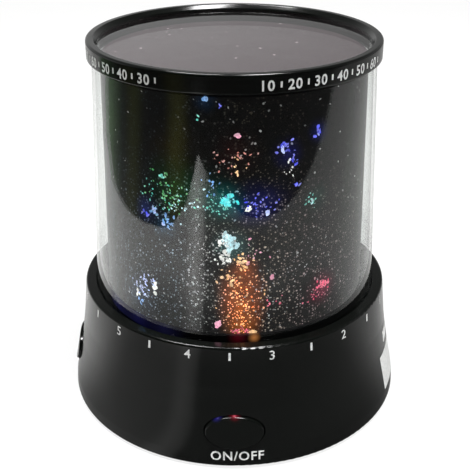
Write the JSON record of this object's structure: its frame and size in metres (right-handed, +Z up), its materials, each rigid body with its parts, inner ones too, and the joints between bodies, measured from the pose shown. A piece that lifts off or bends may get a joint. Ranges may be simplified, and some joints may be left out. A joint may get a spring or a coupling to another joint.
{
  "type": "star projector lamp",
  "caption": "Round tabletop star projector: flared black base with a number dial and push buttons, a turning lit star drum, and a lift-off clear cover with a black ring.",
  "frame": {"origin": "centre of the foot circle, on the surface that the lamp stands on", "axes": "+Z up, -Y towards the front button, +X to the right seen from the front"},
  "size_m": [0.115, 0.115, 0.1237],
  "materials": {
    "black_gloss": "glossy black moulded plastic",
    "clear_plastic": "clear glossy plastic",
    "star_film": "glossy dark printed film with clear dots",
    "black_matte": "satin black moulded plastic",
    "rubber": "matt black rubber",
    "steel": "zinc-plated steel",
    "nickel": "nickel-plated steel",
    "cell_sleeve": "printed plastic sleeve over a metal can",
    "circuit_board": "green solder mask",
    "component_black": "satin black plastic",
    "resistor_body": "tan lacquer with bands",
    "connector_white": "satin white plastic",
    "amber_lens": "clear tinted epoxy, lit",
    "red_lens": "clear tinted epoxy, lit",
    "green_lens": "clear tinted epoxy, lit",
    "blue_lens": "clear tinted epoxy, lit",
    "wire_white": "white insulation",
    "wire_red": "red insulation",
    "wire_black": "black insulation"
  },
  "bodies": {
    "base": {"base_shell": "black_gloss", "bottom_plate": "black_matte", "rubber_feet": "rubber", "base_screws": "steel", "battery_1": "cell_sleeve", "battery_2": "cell_sleeve", "battery_3": "cell_sleeve", "battery_springs": "nickel", "battery_contacts": "nickel", "control_board": "circuit_board", "board_screws": "steel", "controller_chip": "component_black", "board_capacitor": "component_black", "board_resistors": "resistor_body", "board_transistors": "component_black", "wire_connector": "connector_white", "lamp_post": "black_matte", "post_screws": "steel", "lamp_board": "circuit_board", "lamp_board_screws": "steel", "led_amber": "amber_lens", "led_red": "red_lens", "led_green": "green_lens", "led_blue": "blue_lens", "lamp_wires": "wire_white", "switch_front": "component_black", "switch_left": "component_black", "switch_board_front": "circuit_board", "switch_board_left": "circuit_board", "switch_wires_front": "wire_white", "switch_wires_left": "wire_white", "battery_wire_red": "wire_red", "battery_wire_black": "wire_black", "power_inlet": "component_black", "inlet_wires": "wire_red"},
    "cover": {"clear_cover": "clear_plastic", "cap_ring": "black_gloss"},
    "drum": {"star_drum": "star_film", "star_disc": "star_film", "drum_carrier": "black_matte"},
    "front_button": {"button_front": "black_gloss", "plunger_front": "component_black"},
    "left_button": {"button_left": "black_gloss", "plunger_left": "component_black"},
    "battery_lid": {"battery_door": "black_matte"}
  },
  "joints": [
    {"name": "cover_lift", "type": "slide", "parent": "base", "child": "cover", "axis": [0, 0, 1], "range_m": [0, 0.09]},
    {"name": "drum_turn", "type": "hinge", "parent": "base", "child": "drum", "pos_m": [0, 0, 0.0376], "axis": [0, 0, 1], "continuous": true},
    {"name": "button_front_press", "type": "slide", "parent": "base", "child": "front_button", "axis": [0, 1, 0], "range_m": [0, 0.001], "stiffness_N_per_m": 800},
    {"name": "button_left_press", "type": "slide", "parent": "base", "child": "left_button", "axis": [0.9994, 0.0349, 0], "range_m": [0, 0.001], "stiffness_N_per_m": 800},
    {"name": "battery_door_swing", "type": "hinge", "parent": "base", "child": "battery_lid", "pos_m": [0, 0.0309, 0.0018], "axis": [1, 0, 0], "range_deg": [0, 90]}
  ]
}
